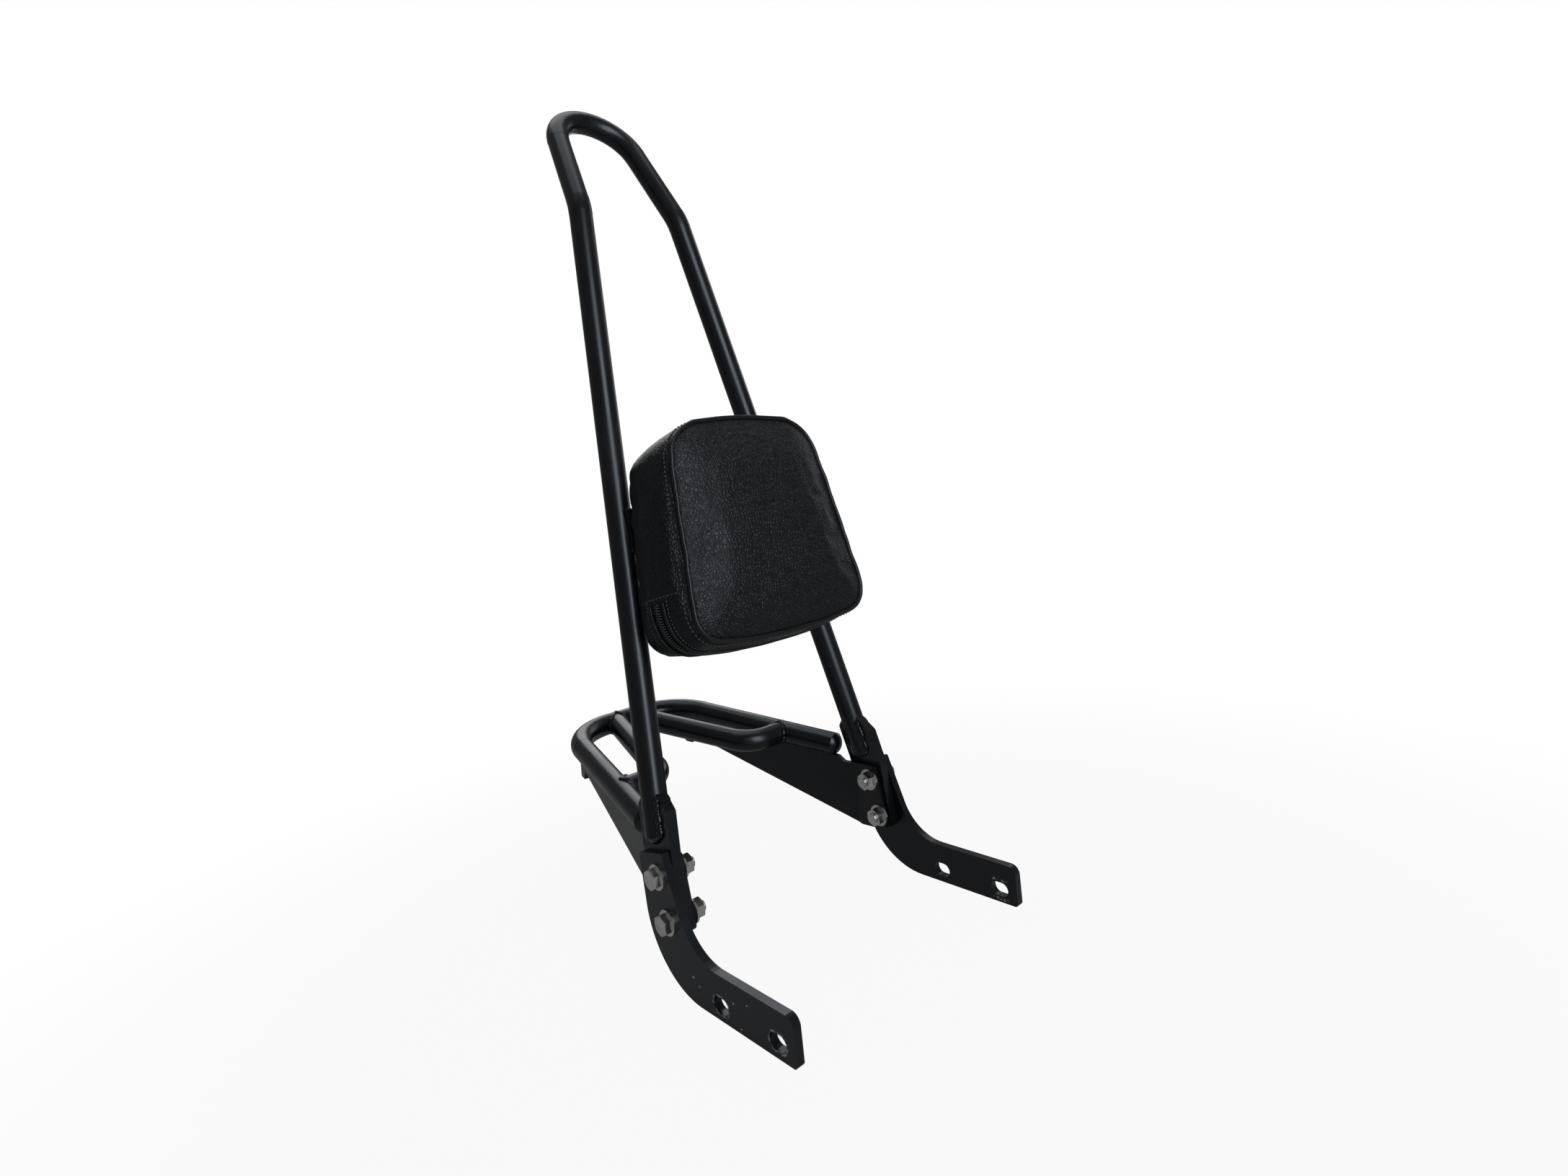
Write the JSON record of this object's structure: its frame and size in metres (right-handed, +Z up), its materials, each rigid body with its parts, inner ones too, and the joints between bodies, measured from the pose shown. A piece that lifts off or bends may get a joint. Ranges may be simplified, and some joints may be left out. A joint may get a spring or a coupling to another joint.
{
  "type": "sissy bar",
  "caption": "Passenger backrest for a motorcycle: a bent tube hoop with a zipped leather pad and a small tubular luggage rack, bolted to two slotted side plates.",
  "frame": {"origin": "midway between the two side plates, and midway between the two slots of a plate", "axes": "+X to the rider's left, -Y forwards along the arms, +Z up"},
  "size_m": [0.246, 0.3605, 0.6837],
  "materials": {
    "powder_coat": "satin",
    "zinc_plate": "bright zinc plate",
    "plywood": "raw",
    "black_leather": "pebbled, satin",
    "padded_leather": "pebbled, satin, over foam",
    "zip_cloth": "woven tape",
    "zip_coil_plastic": "nylon coil"
  },
  "bodies": {
    "root": {"side_plate_right": "powder_coat", "side_plate_left": "powder_coat", "upright_plate_right": "powder_coat", "upright_plate_left": "powder_coat", "hoop_tube": "powder_coat", "hoop_welds": "powder_coat", "rack_gusset_right": "powder_coat", "rack_gusset_left": "powder_coat", "rack_rail_tube": "powder_coat", "rack_inner_tube_right": "powder_coat", "rack_inner_tube_left": "powder_coat", "rack_end_caps": "powder_coat", "rack_welds": "powder_coat", "frame_bolts": "zinc_plate", "head_washers": "zinc_plate", "nut_washers": "zinc_plate", "frame_nuts": "zinc_plate", "pad_strap": "powder_coat", "strap_welds": "powder_coat", "pad_screws": "zinc_plate", "pad_screw_washers": "zinc_plate", "pad_tee_nuts": "zinc_plate", "pad_base_board": "plywood", "pad_back_panel": "black_leather", "pad_cushion": "padded_leather", "pad_side_band": "black_leather", "pad_piping": "black_leather", "zip_tape": "zip_cloth", "zip_coil": "zip_coil_plastic"}
  },
  "joints": []
}
